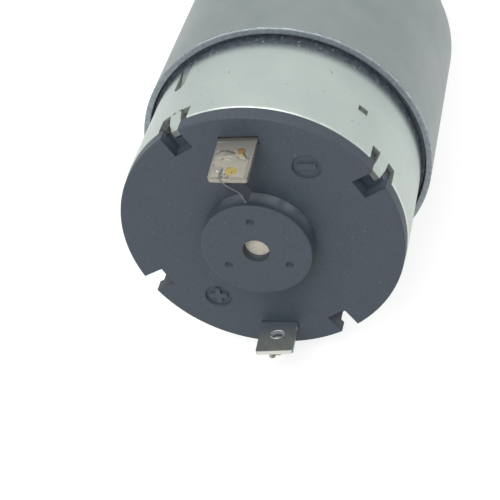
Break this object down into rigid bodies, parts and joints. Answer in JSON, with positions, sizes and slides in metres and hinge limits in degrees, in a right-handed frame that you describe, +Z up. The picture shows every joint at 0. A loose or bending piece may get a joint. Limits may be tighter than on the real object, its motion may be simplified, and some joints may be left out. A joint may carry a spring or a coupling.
{
  "type": "dc gear motor",
  "caption": "Round brushed DC motor in a plated steel can with a flux ring and solder lugs, driving a planetary gearhead with a D-cut output shaft.",
  "frame": {"origin": "centre of the gearhead's front mounting face, on the output axis", "axes": "+X along the output shaft, away from the motor; +Z up, towards the negative terminal"},
  "size_m": [0.1128, 0.0377, 0.0376],
  "materials": {
    "zinc_plated_steel": "satin",
    "ring_steel": "satin",
    "cap_plastic": "matte",
    "tinned_brass": "satin",
    "spring_bronze": "satin",
    "brush_carbon": "matte",
    "sintered_bronze": "matte",
    "ferrite": "matte",
    "spring_steel": "satin",
    "shaft_steel": "satin",
    "core_steel": "matte",
    "insulator_nylon": "matte",
    "winding_copper": "gloss",
    "spacer_nylon": "matte",
    "gear_steel": "satin",
    "carrier_steel": "satin",
    "housing_steel": "satin",
    "cast_zinc": "satin",
    "black_screw_steel": "satin",
    "washer_steel": "satin"
  },
  "bodies": {
    "housing": {"motor_can": "zinc_plated_steel", "flux_ring": "ring_steel", "end_cap": "cap_plastic", "terminal_negative": "tinned_brass", "terminal_positive": "tinned_brass", "brush_arm_negative": "spring_bronze", "brush_arm_positive": "spring_bronze", "carbon_brush_negative": "brush_carbon", "carbon_brush_positive": "brush_carbon", "rear_bush": "sintered_bronze", "front_bush": "sintered_bronze", "magnet_left": "ferrite", "magnet_right": "ferrite", "magnet_clips": "spring_steel", "gearhead_rear_plate": "cast_zinc", "motor_screws": "black_screw_steel", "rear_plate_screws": "black_screw_steel", "ring_gear_housing": "housing_steel", "thrust_washer": "washer_steel", "front_cover": "cast_zinc", "cover_screws": "black_screw_steel", "output_bush_rear": "sintered_bronze", "output_bush_front": "sintered_bronze"},
    "rotor": {"rotor_shaft": "shaft_steel", "armature_core": "core_steel", "armature_insulators": "insulator_nylon", "armature_windings": "winding_copper", "commutator_hub": "insulator_nylon", "commutator_segments": "winding_copper", "rotor_spacers": "spacer_nylon", "rotor_washers": "spacer_nylon", "motor_pinion": "gear_steel"},
    "carrier_1": {"stage_1_carrier": "carrier_steel", "stage_1_pins": "carrier_steel", "stage_2_sun": "gear_steel"},
    "output": {"stage_2_carrier": "carrier_steel", "stage_2_pins": "carrier_steel", "output_shaft": "shaft_steel", "output_washer": "washer_steel", "output_circlip": "spring_steel"},
    "planet_1a": {"stage_1_planet_a": "gear_steel"},
    "planet_1b": {"stage_1_planet_b": "gear_steel"},
    "planet_1c": {"stage_1_planet_c": "gear_steel"},
    "planet_2a": {"stage_2_planet_a": "gear_steel"},
    "planet_2b": {"stage_2_planet_b": "gear_steel"},
    "planet_2c": {"stage_2_planet_c": "gear_steel"}
  },
  "joints": [
    {"name": "motor_spin", "type": "hinge", "parent": "housing", "child": "rotor", "pos_m": [-0.06, 0, 0], "axis": [1, 0, 0], "continuous": true},
    {"name": "carrier_1_spin", "type": "hinge", "parent": "housing", "child": "carrier_1", "pos_m": [-0.024, 0, 0], "axis": [1, 0, 0], "continuous": true},
    {"name": "output_spin", "type": "hinge", "parent": "housing", "child": "output", "pos_m": [0, 0, 0], "axis": [1, 0, 0], "continuous": true},
    {"name": "planet_1a_spin", "type": "hinge", "parent": "carrier_1", "child": "planet_1a", "pos_m": [-0.028, 0.0081, 0], "axis": [1, 0, 0], "continuous": true},
    {"name": "planet_1b_spin", "type": "hinge", "parent": "carrier_1", "child": "planet_1b", "pos_m": [-0.028, -0.00405, 0.00701], "axis": [1, 0, 0], "continuous": true},
    {"name": "planet_1c_spin", "type": "hinge", "parent": "carrier_1", "child": "planet_1c", "pos_m": [-0.028, -0.00405, -0.00701], "axis": [1, 0, 0], "continuous": true},
    {"name": "planet_2a_spin", "type": "hinge", "parent": "output", "child": "planet_2a", "pos_m": [-0.0185, 0.0081, 0], "axis": [1, 0, 0], "continuous": true},
    {"name": "planet_2b_spin", "type": "hinge", "parent": "output", "child": "planet_2b", "pos_m": [-0.0185, -0.00405, 0.00701], "axis": [1, 0, 0], "continuous": true},
    {"name": "planet_2c_spin", "type": "hinge", "parent": "output", "child": "planet_2c", "pos_m": [-0.0185, -0.00405, -0.00701], "axis": [1, 0, 0], "continuous": true}
  ],
  "couplings": [
    {"joint": "carrier_1_spin", "follows": "motor_spin", "ratio": 0.22222},
    {"joint": "output_spin", "follows": "motor_spin", "ratio": 0.049383},
    {"joint": "planet_1a_spin", "follows": "motor_spin", "ratio": -0.62222},
    {"joint": "planet_1b_spin", "follows": "motor_spin", "ratio": -0.62222},
    {"joint": "planet_1c_spin", "follows": "motor_spin", "ratio": -0.62222},
    {"joint": "planet_2a_spin", "follows": "motor_spin", "ratio": -0.13827},
    {"joint": "planet_2b_spin", "follows": "motor_spin", "ratio": -0.13827},
    {"joint": "planet_2c_spin", "follows": "motor_spin", "ratio": -0.13827}
  ]
}
